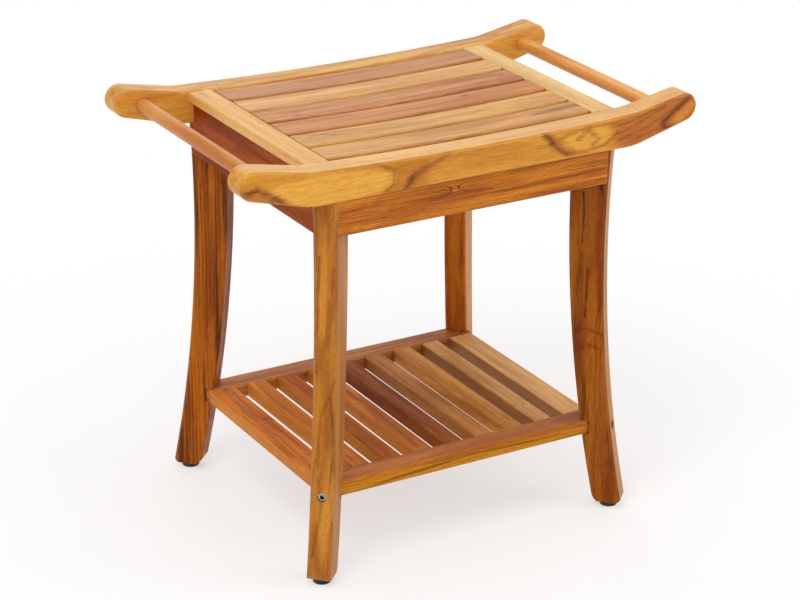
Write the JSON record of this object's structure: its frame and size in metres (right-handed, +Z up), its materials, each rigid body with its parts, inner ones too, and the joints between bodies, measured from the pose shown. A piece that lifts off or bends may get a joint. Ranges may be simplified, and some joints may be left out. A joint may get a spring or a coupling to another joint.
{
  "type": "shower bench",
  "caption": "Slatted hardwood bath bench with a dished seat, upswept side rails with round end bars, sabre legs set at the corners and a slatted lower shelf.",
  "frame": {"origin": "on the floor, under the middle of the bench", "axes": "+X along the bench, from the left hand bar to the right one, +Y from front to rear, +Z up"},
  "size_m": [0.562, 0.3646, 0.4845],
  "materials": {
    "rail_front": "oiled, satin",
    "rail_rear": "oiled, satin",
    "bar_left": "oiled, satin",
    "bar_right": "oiled, satin",
    "batten_left": "oiled, satin",
    "batten_right": "oiled, satin",
    "seat_slat_1": "oiled, satin",
    "seat_slat_2": "oiled, satin",
    "seat_slat_3": "oiled, satin",
    "seat_slat_4": "oiled, satin",
    "seat_slat_5": "oiled, satin",
    "seat_slat_6": "oiled, satin",
    "apron_front": "oiled, satin",
    "apron_rear": "oiled, satin",
    "apron_left": "oiled, satin",
    "apron_right": "oiled, satin",
    "bearer_left": "oiled, satin",
    "bearer_mid": "oiled, satin",
    "bearer_right": "oiled, satin",
    "leg_front_left": "oiled, satin",
    "leg_front_right": "oiled, satin",
    "leg_rear_left": "oiled, satin",
    "leg_rear_right": "oiled, satin",
    "block_front_left": "oiled, satin",
    "block_front_right": "oiled, satin",
    "block_rear_left": "oiled, satin",
    "block_rear_right": "oiled, satin",
    "shelf_rail_front": "oiled, satin",
    "shelf_rail_rear": "oiled, satin",
    "shelf_end_left": "oiled, satin",
    "shelf_end_right": "oiled, satin",
    "shelf_slat_1": "oiled, satin",
    "shelf_slat_2": "oiled, satin",
    "shelf_slat_3": "oiled, satin",
    "shelf_slat_4": "oiled, satin",
    "shelf_slat_5": "oiled, satin",
    "shelf_slat_6": "oiled, satin",
    "shelf_slat_7": "oiled, satin",
    "pads": "matte",
    "bolts": "satin stainless",
    "inserts": "plain"
  },
  "bodies": {
    "root": {"rail_front": "rail_front", "rail_rear": "rail_rear", "bar_left": "bar_left", "bar_right": "bar_right", "batten_left": "batten_left", "batten_right": "batten_right", "seat_slat_1": "seat_slat_1", "seat_slat_2": "seat_slat_2", "seat_slat_3": "seat_slat_3", "seat_slat_4": "seat_slat_4", "seat_slat_5": "seat_slat_5", "seat_slat_6": "seat_slat_6", "apron_front": "apron_front", "apron_rear": "apron_rear", "apron_left": "apron_left", "apron_right": "apron_right", "bearer_left": "bearer_left", "bearer_mid": "bearer_mid", "bearer_right": "bearer_right", "leg_front_left": "leg_front_left", "leg_front_right": "leg_front_right", "leg_rear_left": "leg_rear_left", "leg_rear_right": "leg_rear_right", "block_front_left": "block_front_left", "block_front_right": "block_front_right", "block_rear_left": "block_rear_left", "block_rear_right": "block_rear_right", "shelf_rail_front": "shelf_rail_front", "shelf_rail_rear": "shelf_rail_rear", "shelf_end_left": "shelf_end_left", "shelf_end_right": "shelf_end_right", "shelf_slat_1": "shelf_slat_1", "shelf_slat_2": "shelf_slat_2", "shelf_slat_3": "shelf_slat_3", "shelf_slat_4": "shelf_slat_4", "shelf_slat_5": "shelf_slat_5", "shelf_slat_6": "shelf_slat_6", "shelf_slat_7": "shelf_slat_7", "pad_front_left": "pads", "pad_front_right": "pads", "pad_rear_left": "pads", "pad_rear_right": "pads", "frame_bolts": "bolts", "frame_washers": "bolts", "shelf_bolts": "bolts", "frame_inserts": "inserts", "shelf_inserts": "inserts"}
  },
  "joints": []
}
